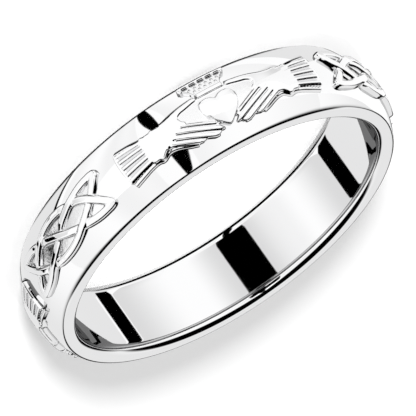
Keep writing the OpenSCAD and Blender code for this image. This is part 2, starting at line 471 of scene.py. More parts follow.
# %% [markdown]
# ## From the sheet to the band
# A flat pattern is laid on a ring by bending it twice: across, to the dome, and along, to the
# band. A projection would stretch the sides of the relief, and a bend keeps its thickness. Each
# motif is then copied round the band, and every copy gets its own mesh.

# %% Bending and repeating
PAIRS = 3
FIRST_HEART = -90
FIRST_PLAIT = FIRST_HEART + 180 / PAIRS


def bent(piece, length_axis, deform_axis, radius):
    """Rolls the piece up to a radius. The modifier takes the whole turn, worked out here."""
    places = [v.co[length_axis] for v in piece.data.vertices]
    turn = (max(places) - min(places)) / radius
    return applied(piece, "SIMPLE_DEFORM", deform_method="BEND", deform_axis=deform_axis,
                   angle=turn)


def laid_on_band(piece, facing, dirt_angle=CREASE_SHADE_ANGLE):
    """Stands the sheet up, bends it across to the dome and along to the band, and turns it."""
    creases_shaded(piece, dirt_angle)
    piece.rotation_euler = (math.pi / 2, 0, 0)
    settled(piece)
    bent(piece, 2, "X", DOME_ARC)
    bent(piece, 0, "Z", CREST)
    piece.location = (0, -CREST, 0)
    settled(piece)
    piece.rotation_euler = (0, 0, math.radians(facing - FIRST_HEART))
    settled(piece)
    bpy.ops.object.shade_smooth()
    return piece


def round_the_band(piece):
    """Copies of the piece at every repeat, each with its own mesh."""
    pieces = [piece]
    for k in range(1, PAIRS):
        pick(piece)
        bpy.ops.object.duplicate(linked=False)
        copy = bpy.context.object
        copy.name = piece.name + "_%d" % (k + 1)
        copy.rotation_euler = (0, 0, math.tau * k / PAIRS)
        pieces.append(settled(copy))
    piece.name = piece.name + "_1"
    return pieces


print("repeats every", 360 / PAIRS, "degrees")


# %% [markdown]
# ## The strand of a plait
# A plait of three lobes by two is a single strand that crosses itself seven times. Each lobe
# could be its own piece, but one path keeps the strand whole through every crossing. Half of it
# is written down, with where it goes over (1) and under (-1); the other half is the same path
# turned half round and walked back.

# %% The strand's path
half_path = [
    (0.0, 0.0, 1), (0.115, -0.115, 0.6), (0.23, -0.215, 0), (0.36, -0.305, -1),
    (0.5, -0.387, 0), (0.64, -0.445, 0), (0.79, -0.46, 0), (0.865, -0.452, 0),
    (0.892, -0.43, 0), (0.872, -0.37, 0), (0.8, -0.22, 0.2), (0.717, -0.06, 1),
    (0.63, 0.09, 1), (0.5, 0.243, 0), (0.365, 0.335, -1), (0.25, 0.405, 0),
    (0.14, 0.447, 0), (0.0, 0.465, 0), (-0.125, 0.45, 0), (-0.25, 0.4, 0.3),
    (-0.375, 0.318, 1), (-0.5, 0.205, 0.2), (-0.595, 0.1, 0), (-0.67, 0.0, -1),
    (-0.735, -0.11, -0.5), (-0.81, -0.24, 0), (-0.872, -0.37, 0), (-0.892, -0.43, 0),
    (-0.865, -0.452, 0), (-0.79, -0.46, 0), (-0.64, -0.445, 0), (-0.5, -0.387, 0.2),
    (-0.375, -0.31, 1), (-0.27, -0.24, 0.5), (-0.15, -0.155, 0), (0.0, -0.01, -1),
]
other_half = [(-a, -c, level) for a, c, level in reversed(half_path[1:-1])]
loop = half_path + other_half
print("points in the strand's path:", len(loop))

# %% [markdown]
# ## Making the plaits
# The strand is narrower at its back than at its foot, as anything cast has to be to leave the
# mould. Its crossings could be cut and lifted one by one. Here the path rises a little over and
# dips under, and the melting does the rest, as a caster's wax does.

# %% The plaits
OVER, UNDER = 0.04, 0.09
WIDER_ALONG, WIDER_ACROSS = 1.05, 1.03

path = []
for a, c, level in loop:
    z = level * (OVER if level > 0 else UNDER)
    path.append(on_sheet((a * WIDER_ALONG, c * WIDER_ACROSS), HALF_PLAIT) + (z, 1.0))
strand = bar(path, top=0.29, foot=0.47, low=-0.16, high=0.235, closed=True)
plait = melted("plait", [strand], grain=0.03, passes=2)
laid_on_band(plait, FIRST_PLAIT)
plaits = round_the_band(plait)
print("plait faces:", len(plait.data.polygons))

# %% [markdown]
# ## The ground of the plaits
# The ground inside a plait is left as it came from the mould, finely pitted, so that the
# polished strands stand out. The faces of the band could be painted, but their edge would be
# jagged. A thin plate just above the dome ends cleanly under the strands.

# %% The pitted ground of the plaits
GROUND = [
    (-0.87, 0.43), (-0.64, 0.44), (-0.36, 0.3), (-0.2, 0.42), (0, 0.46), (0.2, 0.42),
    (0.36, 0.3), (0.64, 0.44), (0.87, 0.43), (0.67, 0), (0.87, -0.43), (0.64, -0.44),
    (0.36, -0.3), (0.2, -0.42), (0, -0.46), (-0.2, -0.42), (-0.36, -0.3), (-0.64, -0.44),
    (-0.87, -0.43), (-0.67, 0),
]
ground = plate(GROUND, HALF_PLAIT, high=0.035, rounding=0.01, sharp=range(len(GROUND)))
ground = melted("plait_ground", [ground], grain=0.05, passes=0)
laid_on_band(ground, FIRST_PLAIT)
grounds = round_the_band(ground)
print("ground faces:", len(ground.data.polygons))


# %% [markdown]
# ## The heart
# In a claddagh two hands hold a heart under a crown. The heart is a pillow, the highest and
# brightest part. It could be a plate with a round edge, but its middle would be flat. Its
# outline is drawn at the foot, then raised and drawn in toward its middle again and again,
# each step a little flatter, as one would build it by hand.

# %% The heart
HEART = [
    (0, -0.185), (0.035, -0.25), (0.075, -0.283), (0.12, -0.27), (0.155, -0.215), (0.172, -0.11),
    (0.171, 0.03), (0.156, 0.15), (0.12, 0.295), (0.082, 0.405), (0.042, 0.505), (0.018, 0.555),
    (0, 0.575),
]
HEART_MIDDLE = (0, 0.03)
# rise and inset round the rim, then rise and scale about the middle
HEART_RIM = [(0.33, 0.02), (0.05, 0.025), (0.025, 0.03)]
HEART_TOP = [(0.02, 0.88), (0.02, 0.8), (0.02, 0.7), (0.012, 0.5)]


def pillow(rows, half_arc, middle, rim, top):
    """An outline raised by (rise, inset) round its rim, then by (rise, scale) at its top."""
    piece = fresh(bpy.ops.mesh.primitive_circle_add, vertices=len(rows), radius=1,
                  fill_type="NGON")
    for vertex, row in zip(piece.data.vertices, rows):
        vertex.co = on_sheet(row, half_arc) + (FOOT,)
    centre = on_sheet(middle, half_arc) + (0,)
    turned_out(piece)
    bpy.ops.object.mode_set(mode="EDIT")
    for rise, inset in rim:
        bpy.ops.mesh.extrude_region_move(TRANSFORM_OT_translate={"value": (0, 0, rise)})
        bpy.ops.mesh.inset(thickness=inset, use_even_offset=False)
    for rise, scale in top:
        bpy.ops.mesh.extrude_region_move(TRANSFORM_OT_translate={"value": (0, 0, rise)})
        bpy.ops.transform.resize(value=(scale, scale, 1), center_override=centre)
    bpy.ops.object.mode_set(mode="OBJECT")
    return settled(turned_out(piece))


heart_rows = HEART + mirrored(HEART[1:-1])
heart = pillow(heart_rows, HALF_CLADDAGH, HEART_MIDDLE, HEART_RIM, HEART_TOP)
parts = [heart]
print("heart faces:", len(heart.data.polygons))


# %% [markdown]
# ## Both halves
# The hands, cuffs and edges are the same on both sides of the heart, so only the right one is
# drawn. A mirror modifier would need one on every part; a mirrored copy, with its faces turned
# out again, is simpler.

# %% A right half and its mirror image
def both(make):
    right = make()
    pick(right)
    bpy.ops.object.duplicate(linked=False)
    left = bpy.context.object
    bpy.ops.transform.mirror(constraint_axis=(True, False, False), center_override=(0, 0, 0))
    return [right, turned_out(settled(left))]


print("halves are made in pairs")


# %% [markdown]
# ## The hands
# Each hand is a palm with its thumb, four fingers that reach under the heart, and a lower
# ground between them. One outline could hold it all, but fingers have round backs. So the palm
# and thumb are one plate, the fingers are bars laid over its edge, and two lower plates close
# the gaps between the fingers and behind the heart.

# %% The palms and the plates under them
PALM = [
    (0.64, 0.345), (0.565, 0.33), (0.53, 0.335), (0.503, 0.372), (0.488, 0.285), (0.452, 0.15),
    (0.395, 0.073), (0.36, 0.045), (0.335, 0.01), (0.36, -0.087), (0.369, -0.2), (0.337, -0.275),
    (0.266, -0.315), (0.188, -0.36), (0.15, -0.39), (0.15, -0.42), (0.17, -0.45),
    (0.237, -0.44), (0.31, -0.42), (0.374, -0.385), (0.47, -0.325), (0.543, -0.305),
    (0.64, -0.29),
]
HAND_FLOOR = [
    (0.6, 0.33), (0.53, 0.33), (0.463, 0.42), (0.39, 0.52), (0.3, 0.62), (0.2, 0.6),
    (0.15, 0.66), (0.1, 0.6), (0.09, 0.5), (0.11, 0.38), (0.2, 0.25), (0.33, 0.05),
    (0.45, -0.1), (0.6, -0.1),
]
FIELD = [
    (0, 0.5), (0.1, 0.42), (0.22, 0.22), (0.36, 0.06), (0.41, -0.08), (0.4, -0.22),
    (0.34, -0.31), (0.2, -0.39), (0, -0.4),
]
# palms and the rolls at the wrists are as high and as round as each other
SOFT_PLATE = {"high": 0.24, "rounding": 0.09, "grow": 0.03}

parts += both(lambda: plate(PALM, HALF_CLADDAGH, sharp=(3,), **SOFT_PLATE))
parts += both(lambda: plate(HAND_FLOOR, HALF_CLADDAGH, high=0.185, rounding=0.03))
parts.append(plate(FIELD + mirrored(FIELD[1:-1]), HALF_CLADDAGH, high=0.145, rounding=0.02))
print("parts with the palms:", len(parts))

# %% [markdown]
# ## The fingers
# A finger could be extruded from the palm, but a bar from its knuckle to its tip has a round
# back, and it thins and sinks at the end as a fingertip does.

# %% The fingers
# knuckle along and across, tip along and across, and width
FINGERS = [
    (0.535, 0.273, 0.3, 0.59, 0.19),
    (0.5, 0.182, 0.15, 0.645, 0.24),
    (0.455, 0.085, 0.08, 0.56, 0.24),
    (0.4, 0.0, 0.108, 0.39, 0.155),
]
# how far along, height and thickness
FINGER_SHAPE = [(0, 0, 1.0), (0.6, 0, 1.0), (0.94, 0, 0.95), (1, -0.03, 0.7), (1.04, -0.08, 0.45)]
FINGER_BACK = 0.7
FINGER_SPARE = 0.1
# how deep bars that lie on a plate reach
BAR_FOOT = -0.12


def finger(row):
    width = row[4]
    ax, ay = on_sheet(row[0:2], HALF_CLADDAGH)
    bx, by = on_sheet(row[2:4], HALF_CLADDAGH)
    line = [(ax + (bx - ax) * share, ay + (by - ay) * share, z, thickness)
            for share, z, thickness in FINGER_SHAPE]
    return bar(line, top=width * FINGER_BACK, foot=width + FINGER_SPARE, low=BAR_FOOT, high=0.25)


for row in FINGERS:
    parts += both(lambda: finger(row))
print("parts with the fingers:", len(parts))


# %% [markdown]
# ## The cuffs' plates
# A cuff is a low plate that widens from the wrist. Its outline could be written down as the
# palm's is, but the pleats and the border have to fan out with it. So everything on a cuff is
# placed by two shares: t, from the crown's side to the fingertips', and how far along the band.

# %% The cuffs' plates
CUFF_WRIST, CUFF_OPEN = 0.68, 0.99
CUFF_UP, CUFF_DOWN = (0.34, 0.47), (-0.29, -0.42)
CUFF_BOW = 0.012


def cuff_place(t, along):
    s = (along - CUFF_WRIST) / (CUFF_OPEN - CUFF_WRIST)
    up = CUFF_UP[0] + (CUFF_UP[1] - CUFF_UP[0]) * s
    down = CUFF_DOWN[0] + (CUFF_DOWN[1] - CUFF_DOWN[0]) * s
    return along, down + (up - down) * t


def cuff_plate():
    rows = [cuff_place(0, CUFF_WRIST), cuff_place(0, CUFF_OPEN)]
    rows += [cuff_place(t, CUFF_OPEN + CUFF_BOW) for t in (0.3, 0.5, 0.7)]
    rows += [cuff_place(1, CUFF_OPEN), cuff_place(1, CUFF_WRIST)]
    return plate(rows, HALF_CLADDAGH, high=0.19, rounding=0.05, sharp=(0, 1, 5, 6))


parts += both(cuff_plate)
print("parts with the cuffs' plates:", len(parts))


# %% [markdown]
# ## The edges of hand and cuff
# A low line runs along the fingers' side of the whole hand and cuff, and the thumb's side
# slopes down to the band. Bevels on the plates could not give two unlike edges, so each edge is
# one more bar: a narrow one, and a broad one that is mostly slope.

# %% The edges
WELT = [
    (0.33, 0.6), (0.4, 0.53), (0.47, 0.44), (0.53, 0.385), (0.58, 0.375), (0.62, 0.415),
    (0.655, 0.45), (0.695, 0.42), (0.77, 0.425), (0.87, 0.475), (0.98, 0.53),
]
SLOPE = [
    (0.985, -0.395), (0.85, -0.335), (0.74, -0.265), (0.62, -0.25), (0.5, -0.285), (0.4, -0.35),
    (0.3, -0.395), (0.2, -0.42), (0.16, -0.425),
]


def line_along(places, **end):
    """A bar through places on the claddagh, of one height and thickness."""
    return bar([on_sheet(p, HALF_CLADDAGH) + (0, 1.0) for p in places], **end)


parts += both(lambda: line_along(WELT, top=0.1, foot=0.3, low=BAR_FOOT, high=0.15))
parts += both(lambda: line_along(SLOPE, top=0.08, foot=0.5, low=BAR_FOOT, high=0.23))
print("parts with the edges:", len(parts))


# %% [markdown]
# ## Border and wrist
# A plain border closes the pleats at the cuff's open end, and a roll crosses the wrist. The
# border could be part of the plate; a bar that follows its bow stands up by itself.

# %% The border and the roll at the wrist
WRIST = [
    (0.58, 0.33), (0.615, 0.39), (0.645, 0.45), (0.68, 0.4), (0.735, 0.375), (0.745, 0.0),
    (0.735, -0.315), (0.68, -0.305), (0.58, -0.28),
]
# how deep bars that lie on a cuff or on the crown reach
SMALL_FOOT = -0.1


def cuff_border():
    places = [cuff_place(t, CUFF_OPEN + CUFF_BOW - 4 * CUFF_BOW * (t - 0.5) ** 2)
              for t in (0.03, 0.3, 0.5, 0.7, 0.97)]
    return line_along(places, top=0.05, foot=0.14, low=SMALL_FOOT, high=0.24)


parts += both(cuff_border)
parts += both(lambda: plate(WRIST, HALF_CLADDAGH, sharp=(0, 8), **SOFT_PLATE))
print("parts with the wrists:", len(parts))

# %% [markdown]
# ## The pleats
# Five pleats are fanned on each cuff. Grooves could be cut instead, but pleats are what a cuff
# has, and bars give them round backs.

# %% The pleats
PLEATS = 5
# how far along, height and thickness
PLEAT_SHAPE = [(0.68, 0.02, 0.9), (0.75, 0.02, 0.92), (0.86, 0.01, 0.96), (0.96, 0, 1.0),
               (0.985, 0, 1.0)]
# shares of the distance between two pleats
PLEAT_BACK, PLEAT_FOOT = 0.4, 0.72


def pleat(i):
    t = (i + 0.5) / PLEATS
    spread = (CUFF_UP[1] - CUFF_DOWN[1]) * HALF_WIDTH / PLEATS
    line = [on_sheet(cuff_place(t, along), HALF_CLADDAGH) + (z, thickness)
            for along, z, thickness in PLEAT_SHAPE]
    return bar(line, top=spread * PLEAT_BACK, foot=spread * PLEAT_FOOT, low=SMALL_FOOT, high=0.25)


for i in range(PLEATS):
    parts += both(lambda: pleat(i))
print("parts with the pleats:", len(parts))


# %% [markdown]
# ## The crown
# The crown has a plain headband, a body that flares toward the rim of the ring, and a row of
# points along its top with slots under them. It is only about two and a half millimetres wide,
# so its points melt into a rail. The slots could be cut, with hard corners; posts between the
# body and the rail leave them open and soft.

# %% The headband, the body and the points
HEADBAND = [(0.122, -0.38), (0.13, -0.497)]
CROWN_BODY = [(0.125, -0.48), (0.155, -0.65), (0.205, -0.8)]
SLOTS = 5
CROWN_SPREAD = 0.44
POST_FOOT, POST_TOP = -0.78, -0.87
POST_FLARE = 0.9
RAIL = [(along, -0.875) for along in (-0.232, -0.116, 0, 0.116, 0.232)]


def flare(rows, high, rounding):
    outline = rows + mirrored(rows)
    return plate(outline, HALF_CLADDAGH, high, rounding, sharp=range(len(outline)))


parts.append(flare(HEADBAND, high=0.26, rounding=0.05))
parts.append(flare(CROWN_BODY, high=0.13, rounding=0.03))
for i in range(SLOTS + 1):
    along = (i / SLOTS - 0.5) * CROWN_SPREAD
    top, foot = (0.07, 0.13) if 0 < i < SLOTS else (0.12, 0.2)
    parts.append(line_along([(along * POST_FLARE, POST_FOOT), (along, POST_TOP)],
                            top=top, foot=foot, low=SMALL_FOOT, high=0.2))
parts.append(line_along(RAIL, top=0.08, foot=0.16, low=SMALL_FOOT, high=0.24))
print("parts with the crown:", len(parts))


# %% [markdown]
# ## Beads
# Two rows of small beads stand on the crown's body, for its jewels. They could be cut into the
# body, but half-sunk balls melt into it as grains of metal do.

# %% The beads
BEAD_HEIGHT = 0.125
# place across, number, spread along and radius of each row
BEAD_ROWS = [(-0.605, 5, 0.26, 0.06), (-0.7, 6, 0.33, 0.058)]


def bead(along, across, size):
    place = on_sheet((along, across), HALF_CLADDAGH) + (BEAD_HEIGHT,)
    return settled(fresh(bpy.ops.mesh.primitive_uv_sphere_add, segments=20, ring_count=12,
                         radius=size, location=place))


for across, count, width, size in BEAD_ROWS:
    for i in range(count):
        parts.append(bead(((i + 0.5) / count - 0.5) * width, across, size))
print("parts with the beads:", len(parts))

# %% [markdown]
# ## Melting the claddagh
# All these parts are one casting, so they are melted into one skin. A finer grain would keep
# more of the crown but make the piece too heavy; this one is about an eighth of a finger wide.

# %% The claddagh as one skin
claddagh = melted("claddagh", parts, grain=0.028, passes=2)
print("faces after melting:", len(claddagh.data.polygons))


# %% [markdown]
# ## Texture in the sunken places
# The crown's body and the ground behind the heart are pitted, and the channels between the
# pleats keep the rough cast finish, its darker colour painted shade. Separate plates could
# carry the finishes, but faces of the skin can simply take another material. They are chosen
# while the piece is still flat, by their place, their height and how level they are.

# %% Pitted and cast faces
# each area is its half width along and its two ends across; then the highest place and the
# least level face that still count
CROWN_AREA, CROWN_HIGHEST, CROWN_LEVEL = (0.23, -0.77, -0.5), 0.22, 0.7
FIELD_AREA, FIELD_HIGHEST, FIELD_LEVEL = (0.37, -0.34, 0.45), 0.195, 0.93
CHANNEL_ALONG, CHANNEL_ACROSS = (0.76, 0.965), (0.12, 0.88)
CHANNEL_HIGHEST, CHANNEL_LEVEL = 0.222, 0.6
PITTED_SLOT, CAST_SHADED_SLOT = 1, 2


def inside(x, y, half_along, low, high):
    left, bottom = on_sheet((-half_along, low), HALF_CLADDAGH)
    right, top = on_sheet((half_along, high), HALF_CLADDAGH)
    return left < x < right and bottom < y < top


def in_a_channel(x, y):
    along = math.degrees(abs(x) / CREST) / HALF_CLADDAGH
    low, high = (on_sheet(cuff_place(t, along), HALF_CLADDAGH)[1] for t in CHANNEL_ACROSS)
    return CHANNEL_ALONG[0] < along < CHANNEL_ALONG[1] and low < y < high


def textured_faces(piece):
    """Gives the sunken faces their finish and counts them."""
    for finish in (polished, pitted, cast):
        piece.data.materials.append(finish)
    chosen = 0
    for face in piece.data.polygons:
        x, y, z = face.center
        level = face.normal.z
        crown = inside(x, y, *CROWN_AREA) and z < CROWN_HIGHEST and level > CROWN_LEVEL
        field = inside(x, y, *FIELD_AREA) and z < FIELD_HIGHEST and level > FIELD_LEVEL
        if crown or field:
            face.material_index = PITTED_SLOT
            chosen += 1
        # Channels take the rough cast finish, whose darker colour is painted shade.
        elif in_a_channel(x, y) and z < CHANNEL_HIGHEST and level > CHANNEL_LEVEL:
            face.material_index = CAST_SHADED_SLOT
            chosen += 1
    return chosen


print("textured faces:", textured_faces(claddagh))


# %% [markdown]
# ## The backs of the hands
# The back of a hand is gently round. A plate is flat, so a soft bulge is pulled up on each hand
# with a proportional edit, as one would by hand, after the finishes are chosen.

# %% Two soft swells
SWELL_ALONG, SWELL_ACROSS = 0.55, -0.03
SWELL_RISE, SWELL_REACH = 0.045, 0.85
GRIP_RADIUS, GRIP_LOWEST = 0.06, 0.15


def swell(piece, side):
    pick(piece)
    x, y = on_sheet((side * SWELL_ALONG, SWELL_ACROSS), HALF_CLADDAGH)
    bpy.ops.object.mode_set(mode="EDIT")
    bpy.ops.mesh.select_all(action="DESELECT")
    bpy.ops.object.mode_set(mode="OBJECT")
    for vertex in piece.data.vertices:
        near_middle = math.hypot(vertex.co.x - x, vertex.co.y - y) < GRIP_RADIUS
        vertex.select = near_middle and vertex.co.z > GRIP_LOWEST
    bpy.ops.object.mode_set(mode="EDIT")
    bpy.ops.transform.translate(value=(0, 0, SWELL_RISE), use_proportional_edit=True,
                                proportional_edit_falloff="SMOOTH",
                                proportional_size=SWELL_REACH)
    bpy.ops.object.mode_set(mode="OBJECT")


for side_of_heart in (1, -1):
    swell(claddagh, side_of_heart)
print("highest place above the dome:", round(max(v.co.z for v in claddagh.data.vertices), 3))

# %% [markdown]
# ## Laying the claddaghs on the band
# The claddagh is bent and copied as the plait is. It has many more creases, and at the plait's
# angle for painted crease shade they would all turn black; a smaller angle keeps black for the
# deepest.

# %% The claddaghs
CLADDAGH_CREASE_SHADE_ANGLE = 66

laid_on_band(claddagh, FIRST_HEART, CLADDAGH_CREASE_SHADE_ANGLE)
claddaghs = round_the_band(claddagh)
print("claddagh faces:", len(claddagh.data.polygons))


# %% [markdown]
# ## Real size, place and finish
# Each piece is now brought down to its real size and lifted, so that the ring lies on the rim
# that its crowns point to. Its object could carry that size and place, but the export needs
# them in the mesh. The whole ring is one body, and every piece stands for the same solid.

# %% Real size, place and finish
pieces = [band] + plaits + grounds + claddaghs
for piece in pieces:
    piece.scale = (MM, MM, MM)
    piece.location = (0, 0, HALF_WIDTH * MM)
    settled(piece)
    if not piece.data.materials:
        piece.data.materials.append(pitted if piece in grounds else polished)
    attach(piece, "root")
    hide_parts("ring")
print("pieces:", len(pieces))

# %% [markdown]
# ## Camera
# The photo was taken with a long lens, from 22 degrees above the rims and rolled right over. A
# camera could be aimed by eye; this one comes from a fit to points on the rims, the bore and
# the relief, so that every later comparison is about the ring and not about the view.

# %% The camera
PHOTO_WIDTH = 416
FOCAL_PX = 9715.45
# the fit has its own unit, a tenth of the rim's outer radius
FIT_DISTANCE, FIT_BAND_WIDTH = 500, 4.4002
DISTANCE = FIT_DISTANCE * (2 * HALF_WIDTH) / FIT_BAND_WIDTH * MM
TURN = 18.69
AZIMUTH, ELEVATION, ROLL = math.radians(TURN), 0.390854, 3.755604
SENSOR = 36
# moves the frame, in pixels, so that the ring lies where the photo has it
SHIFT_PX = (0.5, -2.5)

back = Vector((math.sin(AZIMUTH) * math.cos(ELEVATION),
               -math.cos(AZIMUTH) * math.cos(ELEVATION), math.sin(ELEVATION)))
right = Vector((math.cos(AZIMUTH), math.sin(AZIMUTH), 0))
up = back.cross(right)
side = right * math.cos(ROLL) - up * math.sin(ROLL)
top = right * math.sin(ROLL) + up * math.cos(ROLL)
eye = Vector((0, 0, HALF_WIDTH * MM)) + back * DISTANCE
camera_data = bpy.data.cameras.new("camera")
camera = bpy.data.objects.new("camera", camera_data)
bpy.context.collection.objects.link(camera)
camera.matrix_world = Matrix((
    (side.x, top.x, back.x, eye.x), (side.y, top.y, back.y, eye.y),
    (side.z, top.z, back.z, eye.z), (0, 0, 0, 1)))
camera_data.sensor_width = SENSOR
camera_data.lens = FOCAL_PX / PHOTO_WIDTH * SENSOR
camera_data.shift_x = SHIFT_PX[0] / PHOTO_WIDTH
camera_data.shift_y = SHIFT_PX[1] / PHOTO_WIDTH
camera_data.clip_start = 0.01
camera_data.clip_end = 10
bpy.context.scene.camera = camera
print("camera at", tuple(round(v, 4) for v in eye))

# %% [markdown]
# ## Floor
# The ring lies on a white table. The table catches the soft shadow, but the polished metal
# doesn't see it: what the metal sees below is made by the tent, which can be shaped.

# %% The floor
floor = fresh(bpy.ops.mesh.primitive_plane_add, size=4, location=(0, 0, 0))
floor.name = "floor"
table_white, shader = plain("white table", (0.95, 0.95, 0.95, 1))
shader.inputs["Roughness"].default_value = 0.9
floor.data.materials.append(table_white)
floor.visible_glossy = False
print("floor:", floor.name)

# %% [markdown]
# ## The tent
# Silver is photographed in a white tent with narrow dark gaps, one where the camera looks in
# and one at each side: they are the black bars in the bore. Cloth walls could be modelled, but
# a world whose brightness depends on direction is the same thing, and its edges can be placed
# to a degree. Here angle is measured round the ring from the camera's side, and height is
# above the horizon.

# %% Directions in the tent
CAMERA_AZIMUTH = 270 + TURN
world = bpy.data.worlds.new("light tent")
bpy.context.scene.world = world
world.use_nodes = True
nodes, links = world.node_tree.nodes, world.node_tree.links
background = nodes["Background"]


def math_node(kind, a, b=None):
    node = nodes.new("ShaderNodeMath")
    node.operation = kind
    for socket, value in zip(node.inputs, (a, b)):
        if isinstance(value, (int, float)):
            socket.default_value = value
        elif value is not None:
            links.new(value, socket)
    return node.outputs[0]


def inverse(value):
    return math_node("SUBTRACT", 1.0, value)


def on(kind, *values):
    total = values[0]
    for value in values[1:]:
        total = math_node(kind, total, value)
    return total


direction = nodes.new("ShaderNodeTexCoord").outputs["Generated"]
turned = nodes.new("ShaderNodeVectorRotate")
turned.rotation_type = "Z_AXIS"
turned.inputs["Angle"].default_value = -math.radians(CAMERA_AZIMUTH)
links.new(direction, turned.inputs["Vector"])
axes = nodes.new("ShaderNodeSeparateXYZ")
links.new(turned.outputs[0], axes.inputs[0])
angle = math_node("ARCTAN2", axes.outputs["Y"], axes.outputs["X"])
height = math_node("ARCSINE", axes.outputs["Z"])
turned_away = math_node("ABSOLUTE", angle)
print("the tent's angles start at azimuth", CAMERA_AZIMUTH)


# %% [markdown]
# ## Soft edges
# Every wall and gap has an edge, and a real edge is never quite sharp in a reflection. So each
# is a smooth step, at least EDGE wide, and a gap is one step up times one step down. The tent
# has a steep, a table and an upper side at set heights, and each has gaps of its own.

# %% Steps and bands
EDGE = 0.8
SIDE_EDGE = 3
STEEP_FOOT, TABLE_FOOT, TABLE_TOP, UPPER_FOOT, UPPER_TOP = -82, -40, -12, 0, 60


def step_up(value, edge, soft=EDGE):
    """0 below the edge, 1 above it; the edge and its softness are in degrees."""
    ramp = nodes.new("ShaderNodeMapRange")
    ramp.interpolation_type = "SMOOTHSTEP"
    links.new(value, ramp.inputs["Value"])
    ramp.inputs["From Min"].default_value = math.radians(edge - soft / 2)
    ramp.inputs["From Max"].default_value = math.radians(edge + soft / 2)
    return ramp.outputs["Result"]


def between(value, low, high, soft_low, soft_high):
    return math_node("MULTIPLY", step_up(value, low, soft_low),
                     inverse(step_up(value, high, soft_high)))


def near(value, low, high, soft=EDGE):
    return between(value, low, high, soft, soft)


table_side = near(height, TABLE_FOOT, TABLE_TOP, SIDE_EDGE)
steep_side = near(height, STEEP_FOOT, TABLE_FOOT, SIDE_EDGE)
upper_side = near(height, UPPER_FOOT, UPPER_TOP, SIDE_EDGE)
print("edges are", EDGE, "degrees soft unless they say more")

# %% [markdown]
# ## Dark above, behind and below
# The tent is open overhead, and its opening comes lower toward the back, all but a white panel
# behind. The rounded corner of a rim sees the opening, which draws its dark line, and the flat
# side face sees the panel. The table's own dark side shows below and behind the ring.

# %% The opening and the table's dark side
OPENING, OPENING_SLOPE, OPENING_EDGE = 46, 0.33, 6
PANEL_TURN, PANEL_TURN_EDGE = 112, 16
# the panel's top lies past straight up, so it has no upper end
PANEL_FOOT, PANEL_TOP = 12, 100
LOW_BEHIND_TURN, LOW_BEHIND_EDGE, LOW_BEHIND_TOP = 170, 4, 10
DARK_DIRECTION, DARK_INNER, DARK_OUTER = 70, 30, 33

panel_behind = on("MULTIPLY", step_up(turned_away, PANEL_TURN, PANEL_TURN_EDGE),
                  near(height, PANEL_FOOT, PANEL_TOP, OPENING_EDGE))
lowered = math_node("ADD", height, math_node("MULTIPLY", turned_away, OPENING_SLOPE))
overhead = on("MULTIPLY", step_up(lowered, OPENING, OPENING_EDGE), inverse(panel_behind))
low_behind = on("MULTIPLY", step_up(turned_away, LOW_BEHIND_TURN, LOW_BEHIND_EDGE),
                near(height, TABLE_FOOT, LOW_BEHIND_TOP, OPENING_EDGE))

toward_dark = nodes.new("ShaderNodeVectorMath")
toward_dark.operation = "DOT_PRODUCT"
links.new(turned.outputs[0], toward_dark.inputs[0])
toward_dark.inputs[1].default_value = (-math.cos(math.radians(DARK_DIRECTION)), 0,
                                       -math.sin(math.radians(DARK_DIRECTION)))
dark_edge = nodes.new("ShaderNodeMapRange")
links.new(toward_dark.outputs["Value"], dark_edge.inputs["Value"])
dark_edge.inputs["From Min"].default_value = math.cos(math.radians(DARK_OUTER))
dark_edge.inputs["From Max"].default_value = math.cos(math.radians(DARK_INNER))
underneath = dark_edge.outputs["Result"]
print("opening from", OPENING, "degrees up, in front")


# %% [markdown]
# ## The dark gaps
# One gap in front and one at each side draw the bars in the bore. Higher and steeper parts of
# the front gap draw the bars on the dome; their edges lean, because the dome turns them. The
# side gaps lean outward below the bore's own reflection, so that their bars stay straight right
# up to the rounded end of the bore.

# %% The gaps
# the two ends of each gap, in degrees round the ring
FRONT_GAP, RIGHT_GAP, LEFT_GAP = (-10.6, 12), (86, 101), (-108, -95)
STEEP_RIGHT_GAP = (93, 97.5)
SIDE_GAPS_FOOT = -37
# the height that a gap leans from, then each edge's angle there and its slope
UPPER_GAP = (25, (-6.6, 0.14), (-0.4, -0.04))
STEEP_GAP = (-45, (-4.5, 0.03), (2.5, -0.24))
BORE_REFLECTION = -22.4
LEAN, LEAN_MORE = 0.5, 1.55


def leaning(from_height, slope):
    """The angle, moved sideways with height, for a gap whose edge leans."""
    fall = math_node("SUBTRACT", math.radians(from_height), height)
    return math_node("ADD", angle, math_node("MULTIPLY", fall, slope))


def leaning_gap(from_height, first, last):
    """A gap between two edges that lean, each given as its angle and its slope."""
    rise = step_up(leaning(from_height, first[1]), first[0])
    fall = step_up(leaning(from_height, last[1]), last[0])
    return math_node("MULTIPLY", rise, inverse(fall))


drop = math_node("SUBTRACT", math.radians(BORE_REFLECTION), height)
drop = math_node("MAXIMUM", 0.0, drop)
follow = math_node("ADD", math_node("MULTIPLY", drop, LEAN),
                   math_node("MULTIPLY", math_node("MULTIPLY", drop, drop), LEAN_MORE))
left_angle = math_node("ADD", angle, follow)
right_angle = math_node("SUBTRACT", angle, follow)
side_gaps = on("ADD", near(right_angle, *RIGHT_GAP), near(left_angle, *LEFT_GAP))
steep_gaps = on("ADD", leaning_gap(*STEEP_GAP), near(angle, *STEEP_RIGHT_GAP))

dark = on("ADD",
          on("MULTIPLY", table_side, near(angle, *FRONT_GAP)),
          on("MULTIPLY", near(height, SIDE_GAPS_FOOT, TABLE_TOP, SIDE_EDGE), side_gaps),
          on("MULTIPLY", steep_side, steep_gaps),
          on("MULTIPLY", upper_side, leaning_gap(*UPPER_GAP)),
          overhead, underneath, low_behind)
dark = math_node("MINIMUM", dark, 1.0)
print("gaps in front, right and left, degrees wide:",
      [round(end - start, 1) for start, end in (FRONT_GAP, RIGHT_GAP, LEFT_GAP)])

